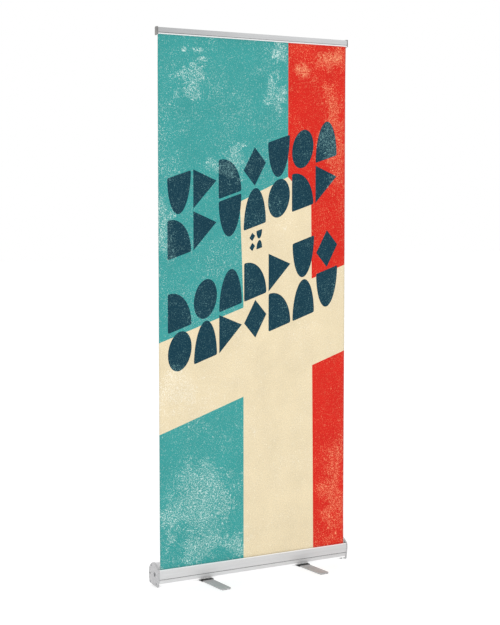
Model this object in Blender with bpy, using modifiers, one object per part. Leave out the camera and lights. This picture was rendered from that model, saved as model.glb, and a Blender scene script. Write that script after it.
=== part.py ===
# Roll-up banner stand: a floor cassette with a sprung roller, a banner that
# stands up out of it, a clamping rail on top and a three-part pole behind.
# Origin on the floor under the middle of the cassette. +X runs along the
# cassette, -Y is the printed side, +Z is up. Sizes are in metres.
import math

import bmesh
import bpy

GAP = 0.0003  # clearance between pieces that touch
RUN = 0.0003  # radial clearance of what turns or slides
PAST = 0.002  # how far a cutter runs past the faces it cuts

# banner
BANNER_WIDTH = 0.851
BANNER_THICK = 0.0004
BANNER_INSET = 0.0105  # from the cassette's front to the sheet
BANNER_GRIP = 0.0195  # how far the sheet reaches up into the rail

# cassette housing, an open extrusion along X
HOUSING_MARGIN = 0.0062  # from the sheet's edge to the end of the housing
HOUSING_WALL = 0.0018
HOUSING_DEPTH = 0.077
HOUSING_BASE = 0.0080
FRONT_TOP = 0.068
FRONT_LIP = 0.0045
FRONT_LEAN = 0.0080
REAR_LEAN = 0.0110
HOOD_TOP = 0.0915
SLOT_FRONT = 0.0030  # from the sheet to the front of its slot
SLOT_BACK = 0.0024
GROOVE_Z = 0.0302
GROOVE_HEIGHT = 0.0026
GROOVE_DEPTH = 0.0026
CHANNEL_RADIUS = 0.0036
CHANNEL_HOLE = 0.0018
CHANNEL_RISE = 0.0033

# end caps
CAP_THICK = 0.007
CAP_EDGE = 0.0018
CAP_PROUD = 0.001
CAP_FLOOR = 0.0012
CAP_HEEL = 0.0078
CAP_SLOT_BACK = 0.0325  # from the roller's axis to the short slot's near end
CAP_SLOT_LENGTH = 0.011
CAP_SLOT_HEIGHT = 0.0034
CAP_SLOT_DEPTH = 0.0022

# roller and what turns in it
ROLLER_Z = 0.048
TUBE_RADIUS = 0.0155
TUBE_WALL = 0.0015
TUBE_INSET = 0.0055  # from the end cap to the end of the tube
LEADER_WRAP = 0.0016
PLUG_FLANGE = 0.002
PLUG_LENGTH = 0.017
SPINDLE_RADIUS = 0.005
SPINDLE_REACH = 0.128
SPINDLE_PROUD = 0.0012  # how far the spindle stands out of the recess
SPINDLE_CHAMFER = 0.0005
COLLAR_RADIUS = 0.0072
COLLAR_THICK = 0.002
PIN_HEAD_THICK = 0.0018
ANCHOR_RADIUS = 0.0100
ANCHOR_THICK = 0.008
HEX_ACROSS = 0.006
HEX_DEPTH = 0.004
RECESS_RADIUS = 0.0085
RECESS_DEPTH = 0.0025
SPRING_RADIUS = 0.0086
SPRING_WIRE = 0.0008
SPRING_TURNS = 14

# small fasteners
SCREW_SHANK = 0.0015
SCREW_HEAD = 0.0036
SCREW_HEAD_THICK = 0.0018
SCREW_LENGTH = 0.018
CROSS_WIDTH = 0.0009
CROSS_LENGTH = 0.0044
CROSS_DEPTH = 0.0010

# feet
FOOT_X = 0.224
FOOT_LENGTH = 0.380
FOOT_WIDTH = 0.046
FOOT_THICK = 0.0040
FOOT_CORNER = 0.012
FOOT_EDGE = 0.0008
PAD_THICK = 0.0012
PAD_LENGTH = 0.014
PAD_WIDTH = 0.034
PAD_INSET = 0.0025
PAD_NOTCH = 0.005
PAD_NOTCH_WIDTH = 0.005
PAD_NOTCH_X = 0.004
HUB_LENGTH = 0.090
HUB_WALL = 0.0022
HUB_EDGE = 0.0007
PIVOT_RADIUS = 0.003
PIVOT_HEAD = 0.0065
PIVOT_HEAD_THICK = 0.0016
PIVOT_TIP = 0.0015  # how far the screw stands out of its nut
WASHER_RADIUS = 0.0075
WASHER_THICK = 0.001
NUT_ACROSS = 0.010
NUT_THICK = 0.005
STUD_RADIUS = 0.0062
STUD_CHAMFER = 0.0012
STUD_MARGIN = 0.0005  # from the stud's side to the end of the housing
STUD_PLACES = {"front": -0.0090, "rear": 0.0180}

# pole
POLE_INSET = 0.0162  # from the cassette's back to the pole's axis
POLE_RADIUS = 0.006
POLE_WALL = 0.0009
POLE_SECTIONS = 3
POLE_DROP = 0.002  # from the top of the rail to the top of the pole's cap
FERRULE_LENGTH = 0.100
FERRULE_WALL = 0.0012
FERRULE_SEAT = 0.045
CORD_RADIUS = 0.0014
SOCKET_WALL = 0.0019
SOCKET_FLOOR = 0.002
SOCKET_COLLAR = 0.011
SOCKET_COLLAR_THICK = 0.003
SOCKET_COLLAR_DROP = 0.0015  # from the hood's top to the underside of the collar
SOCKET_EDGE = 0.001
POLE_PLUG = 0.012
POLE_CAP_THICK = 0.004
POLE_CAP_EDGE = 0.0015

# top rail
RAIL_BOTTOM = 2.0920
RAIL_HEIGHT = 0.0255
RAIL_WALL = 0.0015
RAIL_BEFORE = 0.007  # from the sheet to the rail's face
RAIL_BEHIND = 0.0115  # from the sheet to the rail's back
RAIL_REAR_LIP = 0.006
RAIL_CORNER = 0.0025
JAW_BEAD = 0.006
JAW_BEAD_PROUD = 0.0005
JAW_NOTCH = 0.0021
RAIL_CAP_THICK = 0.0035
RAIL_CAP_PROUD = 0.0008
RAIL_CAP_RISE = 0.0025
RAIL_CAP_DROP = 0.004
RAIL_CAP_LIP = 0.001
RAIL_CAP_TONGUE = 0.010
CLIP_HEIGHT = 0.018
CLIP_WALL = 0.003
CLIP_MOUTH = 110.0
CLIP_ARM = 0.014
CLIP_SHOE = 0.044

# worked out from the sizes above
FRONT_Y = -HOUSING_DEPTH / 2
REAR_Y = HOUSING_DEPTH / 2
BANNER_Y = FRONT_Y + BANNER_INSET
BANNER_FRONT = BANNER_Y - BANNER_THICK / 2 - GAP
BANNER_BACK = BANNER_Y + BANNER_THICK / 2 + GAP
WRAP_RADIUS = TUBE_RADIUS + GAP + LEADER_WRAP
ROLLER_Y = BANNER_BACK + WRAP_RADIUS
HOUSING_HALF = BANNER_WIDTH / 2 + HOUSING_MARGIN
HOUSING_FLOOR = HOUSING_BASE + HOUSING_WALL
CAP_INNER = HOUSING_HALF + GAP
CAP_OUTER = CAP_INNER + CAP_THICK
TUBE_HALF = CAP_INNER - TUBE_INSET
FOOT_BOTTOM = PAD_THICK + GAP
FOOT_TOP = FOOT_BOTTOM + FOOT_THICK
HUB_BOTTOM = FOOT_TOP + GAP
HUB_TOP = HOUSING_BASE - GAP
STUD_X = HOUSING_HALF - STUD_RADIUS - STUD_MARGIN
RAIL_TOP = RAIL_BOTTOM + RAIL_HEIGHT
RAIL_HALF = BANNER_WIDTH / 2 + GAP
RAIL_FRONT = BANNER_Y - RAIL_BEFORE
RAIL_BACK = BANNER_Y + RAIL_BEHIND
POLE_Y = REAR_Y - POLE_INSET
POLE_BOTTOM = HOUSING_FLOOR + GAP + SOCKET_FLOOR + GAP
POLE_TOP = RAIL_TOP - POLE_CAP_THICK - POLE_DROP
SECTION = (POLE_TOP - POLE_BOTTOM) / POLE_SECTIONS
CHANNELS = {
    "top": (REAR_Y - 0.0205, HOOD_TOP - 0.0115),
    "front": (FRONT_Y + 0.0140, HOUSING_FLOOR + CHANNEL_RISE),
    "rear": (REAR_Y - 0.0115, HOUSING_FLOOR + CHANNEL_RISE),
}


def clear_scene():
    for thing in list(bpy.data.objects):
        bpy.data.objects.remove(thing, do_unlink=True)


def new_collection(name):
    group = bpy.data.collections.new(name)
    bpy.context.scene.collection.children.link(group)
    return group


def material(name, colour, roughness, metallic=0.0):
    made = bpy.data.materials.new(name)
    made.use_nodes = True
    shader = made.node_tree.nodes["Principled BSDF"]
    shader.inputs["Base Color"].default_value = (*colour, 1.0)
    shader.inputs["Roughness"].default_value = roughness
    shader.inputs["Metallic"].default_value = metallic
    return made


clear_scene()
PARTS = new_collection("rollup_banner_stand")
CUTTERS = new_collection("cutters")

FINISH = {
    "extrusion": ((0.70, 0.70, 0.71), 0.38, 1.0),
    "chrome": ((0.60, 0.60, 0.61), 0.22, 1.0),
    "steel": ((0.55, 0.55, 0.56), 0.35, 1.0),
    "foot": ((0.42, 0.42, 0.43), 0.42, 1.0),
    "rail_plastic": ((0.10, 0.10, 0.105), 0.45, 0.0),
    "black_plastic": ((0.02, 0.02, 0.02), 0.50, 0.0),
    "rubber": ((0.015, 0.015, 0.015), 0.85, 0.0),
    "print": ((0.08, 0.38, 0.37), 0.45, 0.0),
    "leader": ((0.75, 0.75, 0.73), 0.55, 0.0),
    "cord": ((0.03, 0.03, 0.03), 0.80, 0.0),
}


def finish_piece(obj, finish):
    obj.data.materials.clear()
    obj.data.materials.append(material(obj.name, *FINISH[finish]))
    for group in list(obj.users_collection):
        group.objects.unlink(obj)
    PARTS.objects.link(obj)
    return obj


def as_cutter(obj):
    for group in list(obj.users_collection):
        group.objects.unlink(obj)
    CUTTERS.objects.link(obj)
    obj.hide_render = True
    obj.display_type = "WIRE"
    return obj


def combine(obj, other, operation="DIFFERENCE"):
    step = obj.modifiers.new(operation.lower(), "BOOLEAN")
    step.operation = operation
    step.solver = "EXACT"
    step.object = as_cutter(other)
    return obj


def mesh_object(name, mesh):
    obj = bpy.data.objects.new(name, mesh)
    bpy.context.scene.collection.objects.link(obj)
    return obj


def box(name, low, high, edge=0.0, segments=2):
    """Axis-aligned box from its two corners, with optional rounded edges."""
    mesh = bpy.data.meshes.new(name)
    shape = bmesh.new()
    bmesh.ops.create_cube(shape, size=1.0)
    size = [high[i] - low[i] for i in range(3)]
    bmesh.ops.scale(shape, vec=size, verts=shape.verts)
    shape.to_mesh(mesh)
    shape.free()
    obj = mesh_object(name, mesh)
    obj.location = [(high[i] + low[i]) / 2 for i in range(3)]
    if edge:
        round_edges(obj, edge, segments)
    return obj


def round_edges(obj, width, segments=2):
    step = obj.modifiers.new("edges", "BEVEL")
    step.width = width
    step.segments = segments
    step.limit_method = "ANGLE"
    step.angle_limit = math.radians(40)
    return obj


def rod(name, radius, start, end, axis="Z", centre=(0.0, 0.0), sides=24):
    """Plain cylinder along an axis. centre holds the two other coordinates."""
    mesh = bpy.data.meshes.new(name)
    shape = bmesh.new()
    bmesh.ops.create_cone(
        shape, cap_ends=True, segments=sides, radius1=radius, radius2=radius, depth=end - start
    )
    shape.to_mesh(mesh)
    shape.free()
    obj = mesh_object(name, mesh)
    middle = (start + end) / 2
    if axis == "X":
        obj.rotation_euler = (0, math.pi / 2, 0)
        obj.location = (middle, *centre)
    elif axis == "Y":
        obj.rotation_euler = (math.pi / 2, 0, 0)
        obj.location = (centre[0], middle, centre[1])
    else:
        obj.location = (*centre, middle)
    return obj


def turned(name, profile, axis="Z", centre=(0.0, 0.0), closed=False, sides=32):
    """Turned shape. profile holds (radius, station) and runs from the far end
    to the near end down its outer side. A closed profile makes a ring."""
    mesh = bpy.data.meshes.new(name)
    points = [(radius, 0.0, station) for radius, station in profile]
    edges = [(i, i + 1) for i in range(len(points) - 1)]
    if closed:
        edges.append((len(points) - 1, 0))
    mesh.from_pydata(points, edges, [])
    obj = mesh_object(name, mesh)
    step = obj.modifiers.new("turn", "SCREW")
    step.axis = "Z"
    step.steps = sides
    step.render_steps = sides
    step.use_merge_vertices = True
    step.merge_threshold = 0.00001
    step.use_smooth_shade = True
    if axis == "X":
        obj.rotation_euler = (0, math.pi / 2, 0)
        obj.location = (0.0, *centre)
    else:
        obj.location = (*centre, 0.0)
    return obj


def ring(name, outer, inner, start, end, axis="Z", centre=(0.0, 0.0), sides=32):
    profile = [(outer, end), (outer, start), (inner, start), (inner, end)]
    return turned(name, profile, axis, centre, closed=True, sides=sides)


def plate(name, outlines, start, end, axis="X"):
    """Flat piece cut from closed outlines, the first being its edge and the
    others its holes. Along X the outlines are (y, z); along Z they are (x, y)."""
    curve = bpy.data.curves.new(name, "CURVE")
    curve.dimensions = "2D"
    curve.fill_mode = "BOTH"
    curve.extrude = (end - start) / 2
    for outline in outlines:
        spline = curve.splines.new("POLY")
        spline.points.add(len(outline) - 1)
        for point, (u, v) in zip(spline.points, outline):
            point.co = (u, v, 0.0, 1.0)
        spline.use_cyclic_u = True
    guide = bpy.data.objects.new(name + "_outline", curve)
    bpy.context.scene.collection.objects.link(guide)
    middle = (start + end) / 2
    if axis == "X":
        guide.rotation_euler = (math.pi / 2, 0, math.pi / 2)
        guide.location = (middle, 0.0, 0.0)
    else:
        guide.location = (0.0, 0.0, middle)
    return curve_to_mesh(name, guide)


def curve_to_mesh(name, guide):
    bpy.context.view_layer.update()
    graph = bpy.context.evaluated_depsgraph_get()
    mesh = bpy.data.meshes.new_from_object(guide.evaluated_get(graph))
    mesh.name = name
    shape = bmesh.new()
    shape.from_mesh(mesh)
    bmesh.ops.remove_doubles(shape, verts=shape.verts, dist=0.00001)
    bmesh.ops.recalc_face_normals(shape, faces=shape.faces)
    shape.to_mesh(mesh)
    shape.free()
    obj = mesh_object(name, mesh)
    obj.matrix_world = guide.matrix_world.copy()
    bpy.data.objects.remove(guide, do_unlink=True)
    return obj


def smooth(points, steps):
    """Points along the smooth curve that passes through the given ones."""
    last = len(points) - 1
    out = []
    for span in range(last):
        four = [points[min(max(span + k, 0), last)] for k in (-1, 0, 1, 2)]
        out += [spline_point(four, step / steps) for step in range(steps)]
    return out + [points[-1]]


def spline_point(four, t):
    before, start, end, after = four
    return tuple(
        0.5 * (
            2 * start[i]
            + (end[i] - before[i]) * t
            + (2 * before[i] - 5 * start[i] + 4 * end[i] - after[i]) * t * t
            + (3 * start[i] - before[i] - 3 * end[i] + after[i]) * t * t * t
        )
        for i in range(2)
    )


def housing_profile():
    """Outer line of the extrusion as (y, z), from the front lip of the banner
    slot down the front, under, up the back and over to the hood's lip."""
    slot_front = BANNER_Y - SLOT_FRONT
    slot_back = BANNER_Y + SLOT_BACK
    low, high = GROOVE_Z - GROOVE_HEIGHT / 2, GROOVE_Z + GROOVE_HEIGHT / 2
    groove = FRONT_Y + FRONT_LEAN * 0.2
    lip = [
        (FRONT_Y + FRONT_LIP * (1 - math.sin(a)), FRONT_TOP - FRONT_LIP * (1 - math.cos(a)))
        for a in (math.pi / 2 * k / 5 for k in range(5))
    ]
    upper = smooth([(FRONT_Y, FRONT_TOP - FRONT_LIP), (FRONT_Y - CAP_PROUD / 2, 0.050), (groove, high)], 4)
    lower = smooth(
        [
            (groove + FRONT_LEAN * 0.05, low),
            (FRONT_Y + FRONT_LEAN * 0.55, (low + HOUSING_BASE) / 2),
            (FRONT_Y + FRONT_LEAN, HOUSING_BASE),
        ],
        3,
    )
    hood = smooth(
        [
            (REAR_Y - REAR_LEAN, HOUSING_BASE),
            (REAR_Y - REAR_LEAN * 0.4, HOUSING_BASE + REAR_LEAN * 0.55),
            (REAR_Y - 0.0012, HOUSING_BASE + 0.018),
            (REAR_Y, 0.046),
            (REAR_Y - 0.0018, 0.060),
            (REAR_Y - 0.0085, HOOD_TOP - 0.0180),
            (REAR_Y - 0.0190, HOOD_TOP - 0.0070),
            (REAR_Y - 0.0330, HOOD_TOP - 0.0010),
            (REAR_Y - 0.0440, HOOD_TOP - 0.0016),
            (REAR_Y - 0.0540, HOOD_TOP - 0.0085),
            (REAR_Y - 0.0605, HOOD_TOP - 0.0155),
        ],
        3,
    )
    return (
        [(slot_front, FRONT_TOP)]
        + lip
        + upper
        + [(groove + GROOVE_DEPTH, high), (groove + GROOVE_DEPTH, low)]
        + lower
        + hood
        + [(slot_back, FRONT_TOP + SLOT_BACK), (slot_back, FRONT_TOP - SLOT_BACK)]
    )


def extrusion_shell(name, profile, half, wall):
    """Sheet along X through the profile, given its wall on the inner side."""
    mesh = bpy.data.meshes.new(name)
    count = len(profile)
    points = [(-half, y, z) for y, z in profile] + [(half, y, z) for y, z in profile]
    faces = [(i, i + 1, count + i + 1, count + i) for i in range(count - 1)]
    mesh.from_pydata(points, [], faces)
    obj = mesh_object(name, mesh)
    step = obj.modifiers.new("wall", "SOLIDIFY")
    step.thickness = wall
    step.offset = -1.0
    step.use_even_offset = True
    step.use_quality_normals = True
    return obj


def make_housing():
    obj = extrusion_shell("cassette_housing", housing_profile(), HOUSING_HALF, HOUSING_WALL)
    for place, centre in CHANNELS.items():
        bar = rod(f"channel_{place}", CHANNEL_RADIUS, -HOUSING_HALF, HOUSING_HALF, "X", centre, 16)
        combine(obj, bar, "UNION")
    reach = HOUSING_HALF + PAST
    for place, centre in CHANNELS.items():
        combine(obj, rod(f"channel_hole_{place}", CHANNEL_HOLE, -reach, reach, "X", centre, 12))
    socket = POLE_RADIUS + RUN + SOCKET_WALL + GAP
    low, high = HOUSING_FLOOR + GAP / 3, HOOD_TOP + PAST
    combine(obj, rod("socket_hole", socket, low, high, "Z", (0.0, POLE_Y), 32))
    low, high = HOUSING_BASE - PAST, HOUSING_FLOOR + PAST
    for side in (-1, 1):
        hole = rod("pivot_hole", PIVOT_RADIUS + RUN, low, high, "Z", (side * FOOT_X, 0.0), 16)
        combine(obj, hole)
    return finish_piece(obj, "extrusion")


def cap_outline():
    """Edge of an end cap as (y, z): a little proud of the housing, with a
    bottom that falls from the heel at the back to the toe at the front."""
    side = [
        (FRONT_Y - CAP_PROUD, FRONT_TOP - 0.0080),
        (FRONT_Y + 0.0017, FRONT_TOP + 0.0015),
        (FRONT_Y + 0.0110, FRONT_TOP + 0.0090),
        (FRONT_Y + 0.0265, HOOD_TOP - 0.0037),
        (REAR_Y - 0.0365, HOOD_TOP + CAP_PROUD),
        (REAR_Y - 0.0210, HOOD_TOP - 0.0035),
        (REAR_Y - 0.0070, HOOD_TOP - 0.0155),
        (REAR_Y, HOOD_TOP - 0.0265),
        (REAR_Y + CAP_PROUD, 0.0500),
        (REAR_Y, CAP_HEEL + 0.0180),
        (REAR_Y - 0.0022, CAP_HEEL + 0.0060),
        (REAR_Y - 0.0080, CAP_HEEL),
    ]
    toe = [
        (FRONT_Y + FRONT_LEAN, CAP_FLOOR),
        (FRONT_Y + FRONT_LEAN * 0.7, CAP_FLOOR + 0.0035),
        (FRONT_Y + FRONT_LEAN * 0.5, CAP_FLOOR + 0.0130),
        (FRONT_Y + FRONT_LEAN * 0.15, CAP_FLOOR + 0.0280),
        (FRONT_Y - CAP_PROUD, CAP_FLOOR + 0.0450),
        (FRONT_Y - CAP_PROUD, FRONT_TOP - 0.0080),
    ]
    return smooth(side, 3) + smooth(toe, 3)[:-1]


def rounded_plate(name, outline, start, end, edge):
    """Plate along X whose face at end has a round rim. Outline is in (y, z)."""
    mesh = bpy.data.meshes.new(name)
    shape = bmesh.new()
    flat = shape.faces.new([shape.verts.new((start, y, z)) for y, z in outline])
    grown = bmesh.ops.extrude_face_region(shape, geom=[flat])["geom"]
    face = next(part for part in grown if isinstance(part, bmesh.types.BMFace))
    straight = (abs(end - start) - edge) * math.copysign(1, end - start)
    bmesh.ops.translate(shape, vec=(straight, 0, 0), verts=face.verts)
    bmesh.ops.recalc_face_normals(shape, faces=shape.faces)
    steps = 3
    for step in range(steps):
        a, b = math.pi / 2 * step / steps, math.pi / 2 * (step + 1) / steps
        bmesh.ops.inset_region(
            shape,
            faces=[face],
            thickness=edge * (math.cos(a) - math.cos(b)),
            depth=edge * (math.sin(b) - math.sin(a)),
            use_even_offset=True,
        )
    shape.to_mesh(mesh)
    shape.free()
    return mesh_object(name, mesh)


def make_end_cap(side):
    """End cap with its screw holes and the bore on the roller's axis. The left
    one also has the short slot behind the bore."""
    name = "left_end_cap" if side < 0 else "right_end_cap"
    face = side * CAP_OUTER
    obj = rounded_plate(name, cap_outline(), side * CAP_INNER, face, CAP_EDGE)
    axis = (ROLLER_Y, ROLLER_Z)
    through = sorted((side * (CAP_INNER - PAST), face + side * PAST))
    combine(obj, rod(f"{name}_bore", SPINDLE_RADIUS + RUN, *through, "X", axis, 24))
    for place, centre in CHANNELS.items():
        combine(obj, rod(f"{name}_hole_{place}", SCREW_SHANK + GAP, *through, "X", centre, 12))
        ends = sorted((face - side * (SCREW_HEAD_THICK + 2 * GAP), face + side * PAST))
        combine(obj, rod(f"{name}_seat_{place}", SCREW_HEAD + GAP, *ends, "X", centre, 20))
    ends = sorted((face - side * RECESS_DEPTH, face + side * PAST))
    combine(obj, rod(f"{name}_recess", RECESS_RADIUS, *ends, "X", axis, 28))
    if side < 0:
        near = ROLLER_Y + CAP_SLOT_BACK
        low = (face - PAST, near, ROLLER_Z - CAP_SLOT_HEIGHT)
        high = (face + CAP_SLOT_DEPTH, near + CAP_SLOT_LENGTH, ROLLER_Z)
        combine(obj, box("cap_slot", low, high))
    return finish_piece(obj, "chrome")


def make_cross_screw(name, side, centre):
    """Pan-head screw of an end cap, with a cross recess in its head."""
    face = CAP_OUTER - GAP
    profile = [
        (0.0, face),
        (SCREW_HEAD * 0.75, face),
        (SCREW_HEAD, face - SCREW_HEAD_THICK * 0.45),
        (SCREW_HEAD, face - SCREW_HEAD_THICK),
        (SCREW_SHANK, face - SCREW_HEAD_THICK),
        (SCREW_SHANK, face - SCREW_LENGTH),
        (0.0, face - SCREW_LENGTH),
    ]
    obj = turned(name, profile, "X", centre, sides=16)
    if side < 0:
        obj.rotation_euler = (0, -math.pi / 2, 0)
    depth = sorted((side * (face - CROSS_DEPTH), side * (face + PAST)))
    for number, (wide, tall) in enumerate(((CROSS_LENGTH, CROSS_WIDTH), (CROSS_WIDTH, CROSS_LENGTH))):
        low = (depth[0], centre[0] - wide / 2, centre[1] - tall / 2)
        high = (depth[1], centre[0] + wide / 2, centre[1] + tall / 2)
        combine(obj, box(f"{name}_cross_{number}", low, high))
    return finish_piece(obj, "steel")


def make_roller_tube():
    inner = TUBE_RADIUS - TUBE_WALL
    obj = ring("roller_tube", TUBE_RADIUS, inner, -TUBE_HALF, TUBE_HALF, "X", (ROLLER_Y, ROLLER_Z), 36)
    return finish_piece(obj, "extrusion")


def make_leader_wrap():
    """Turns of the leader that stay on the tube when the banner is up."""
    inner = TUBE_RADIUS + GAP
    half = BANNER_WIDTH / 2
    obj = ring("leader_wrap", WRAP_RADIUS, inner, -half, half, "X", (ROLLER_Y, ROLLER_Z), 36)
    return finish_piece(obj, "leader")


def make_roller_plug(name, side):
    """Flanged plug in one end of the tube, running on the spindle or the pin."""
    end = TUBE_HALF + GAP
    bore = SPINDLE_RADIUS + RUN
    body = TUBE_RADIUS - TUBE_WALL - GAP
    profile = [
        (bore, end + PLUG_FLANGE),
        (TUBE_RADIUS, end + PLUG_FLANGE),
        (TUBE_RADIUS, end),
        (body, end),
        (body, end - PLUG_LENGTH),
        (bore, end - PLUG_LENGTH),
    ]
    obj = turned(name, profile, "X", (ROLLER_Y, ROLLER_Z), closed=True, sides=32)
    if side < 0:
        obj.rotation_euler = (0, -math.pi / 2, 0)
    return finish_piece(obj, "black_plastic")


def spindle_stations():
    """Distances from the middle: outer end, collar and inner end."""
    outer = CAP_OUTER - RECESS_DEPTH + SPINDLE_PROUD
    return outer, CAP_INNER - GAP, outer - SPINDLE_REACH


def make_tension_spindle():
    outer, collar, inner = spindle_stations()
    profile = [
        (0.0, outer),
        (SPINDLE_RADIUS - SPINDLE_CHAMFER, outer),
        (SPINDLE_RADIUS, outer - SPINDLE_CHAMFER),
        (SPINDLE_RADIUS, collar),
        (COLLAR_RADIUS, collar),
        (COLLAR_RADIUS, collar - COLLAR_THICK),
        (SPINDLE_RADIUS, collar - COLLAR_THICK),
        (SPINDLE_RADIUS, inner + ANCHOR_THICK),
        (ANCHOR_RADIUS, inner + ANCHOR_THICK),
        (ANCHOR_RADIUS, inner),
        (0.0, inner),
    ]
    obj = turned("tension_spindle", profile, "X", (ROLLER_Y, ROLLER_Z), sides=24)
    obj.rotation_euler = (0, -math.pi / 2, 0)
    across = HEX_ACROSS / math.sqrt(3)
    ends = (-outer - PAST, -outer + HEX_DEPTH)
    combine(obj, rod("spindle_hex", across, *ends, "X", (ROLLER_Y, ROLLER_Z), 6))
    return finish_piece(obj, "steel")


def make_idler_pin():
    """Headed pin in the right cap, on which the idler plug turns."""
    face = CAP_OUTER - RECESS_DEPTH + GAP
    tip = CAP_INNER - PLUG_LENGTH
    profile = [
        (0.0, face + PIN_HEAD_THICK),
        (COLLAR_RADIUS, face + PIN_HEAD_THICK),
        (COLLAR_RADIUS, face),
        (SPINDLE_RADIUS, face),
        (SPINDLE_RADIUS, tip),
        (0.0, tip),
    ]
    obj = turned("idler_pin", profile, "X", (ROLLER_Y, ROLLER_Z), sides=24)
    return finish_piece(obj, "steel")


def make_torsion_spring():
    """Coil round the spindle, between the drive plug and the anchor."""
    _, _, inner = spindle_stations()
    near = -(TUBE_HALF + GAP - PLUG_LENGTH) + SPRING_WIRE + GAP
    far = -inner - ANCHOR_THICK - SPRING_WIRE - GAP
    curve = bpy.data.curves.new("spring_path", "CURVE")
    curve.dimensions = "3D"
    curve.bevel_depth = SPRING_WIRE
    curve.bevel_resolution = 1
    curve.use_fill_caps = True
    per_turn = 12
    count = SPRING_TURNS * per_turn
    spline = curve.splines.new("POLY")
    spline.points.add(count)
    for i in range(count + 1):
        angle = 2 * math.pi * i / per_turn
        x = near + (far - near) * i / count
        y = ROLLER_Y + SPRING_RADIUS * math.cos(angle)
        z = ROLLER_Z + SPRING_RADIUS * math.sin(angle)
        spline.points[i].co = (x, y, z, 1.0)
    guide = bpy.data.objects.new("spring_path", curve)
    bpy.context.scene.collection.objects.link(guide)
    return finish_piece(curve_to_mesh("torsion_spring", guide), "steel")


def make_banner():
    """Printed sheet from the roller's front up into the rail's jaws."""
    half = BANNER_WIDTH / 2
    low = (-half, BANNER_Y - BANNER_THICK / 2, ROLLER_Z)
    high = (half, BANNER_Y + BANNER_THICK / 2, RAIL_BOTTOM + BANNER_GRIP)
    return finish_piece(box("banner_graphic", low, high), "print")


def make_foot(side):
    """Flat bar that swivels on its middle, with round corners."""
    name = "left_foot_bar" if side < 0 else "right_foot_bar"
    mesh = bpy.data.meshes.new(name)
    shape = bmesh.new()
    bmesh.ops.create_cube(shape, size=1.0)
    bmesh.ops.scale(shape, vec=(FOOT_WIDTH, FOOT_LENGTH, FOOT_THICK), verts=shape.verts)
    upright = [e for e in shape.edges if abs(e.verts[0].co.z - e.verts[1].co.z) > FOOT_THICK / 2]
    bmesh.ops.bevel(
        shape, geom=upright, offset=FOOT_CORNER, segments=6, profile=0.5, affect="EDGES"
    )
    shape.to_mesh(mesh)
    shape.free()
    obj = mesh_object(name, mesh)
    obj.location = (side * FOOT_X, 0.0, FOOT_BOTTOM + FOOT_THICK / 2)
    round_edges(obj, FOOT_EDGE, 2)
    centre = (side * FOOT_X, 0.0)
    combine(obj, rod(f"{name}_hole", PIVOT_RADIUS + RUN, -PAST, FOOT_TOP + PAST, "Z", centre, 16))
    seat_top = FOOT_BOTTOM + PIVOT_HEAD_THICK + 2 * GAP
    combine(obj, rod(f"{name}_seat", PIVOT_HEAD + RUN, -PAST, seat_top, "Z", centre, 24))
    return finish_piece(obj, "foot")


def make_foot_hub(side):
    """Black saddle over the middle of the foot, that turns with it."""
    name = "left_foot_hub" if side < 0 else "right_foot_hub"
    x = side * FOOT_X
    inside = FOOT_WIDTH / 2 + GAP
    half = inside + HUB_WALL
    low = (x - half, -HUB_LENGTH / 2, FOOT_BOTTOM)
    high = (x + half, HUB_LENGTH / 2, HUB_TOP)
    obj = box(name, low, high, HUB_EDGE)
    low = (x - inside, -HUB_LENGTH, -PAST)
    high = (x + inside, HUB_LENGTH, HUB_BOTTOM)
    combine(obj, box(f"{name}_way", low, high))
    combine(obj, rod(f"{name}_hole", PIVOT_RADIUS + RUN, 0.0, HUB_TOP + PAST, "Z", (x, 0.0), 16))
    return finish_piece(obj, "black_plastic")


def make_foot_pad(side, end):
    """Rubber pad under one tip of a foot, notched at its front edge."""
    name = ("left" if side < 0 else "right") + ("_front_pad" if end < 0 else "_rear_pad")
    x = side * FOOT_X
    outer = end * (FOOT_LENGTH / 2 - PAD_INSET)
    near, far = sorted((outer, outer - end * PAD_LENGTH))
    obj = box(name, (x - PAD_WIDTH / 2, near, 0.0), (x + PAD_WIDTH / 2, far, PAD_THICK))
    notch = sorted((outer - end * PAD_NOTCH, outer + end * PAST))
    low = (x + PAD_NOTCH_X, notch[0], -PAST)
    high = (x + PAD_NOTCH_X + PAD_NOTCH_WIDTH, notch[1], PAD_THICK + PAST)
    combine(obj, box(f"{name}_notch", low, high))
    return finish_piece(obj, "rubber")


def make_pivot(side):
    """Screw, washer and nut that hold one foot under the cassette."""
    word = "left" if side < 0 else "right"
    centre = (side * FOOT_X, 0.0)
    head = FOOT_BOTTOM + GAP
    under = head + PIVOT_HEAD_THICK
    washer = HOUSING_FLOOR + GAP
    nut = washer + WASHER_THICK + GAP
    tip = nut + NUT_THICK + PIVOT_TIP
    profile = [
        (0.0, tip),
        (PIVOT_RADIUS, tip),
        (PIVOT_RADIUS, under),
        (PIVOT_HEAD, under),
        (PIVOT_HEAD, head),
        (0.0, head),
    ]
    finish_piece(turned(f"{word}_pivot_screw", profile, "Z", centre, sides=20), "steel")
    bore = PIVOT_RADIUS + GAP
    disc = ring(f"{word}_pivot_washer", WASHER_RADIUS, bore, washer, washer + WASHER_THICK, "Z", centre, 24)
    finish_piece(disc, "steel")
    across = NUT_ACROSS / math.sqrt(3)
    obj = rod(f"{word}_pivot_nut", across, nut, nut + NUT_THICK, "Z", centre, 6)
    combine(obj, rod(f"{word}_nut_bore", bore, nut - PAST, nut + NUT_THICK + PAST, "Z", centre, 20))
    finish_piece(obj, "steel")


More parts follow.
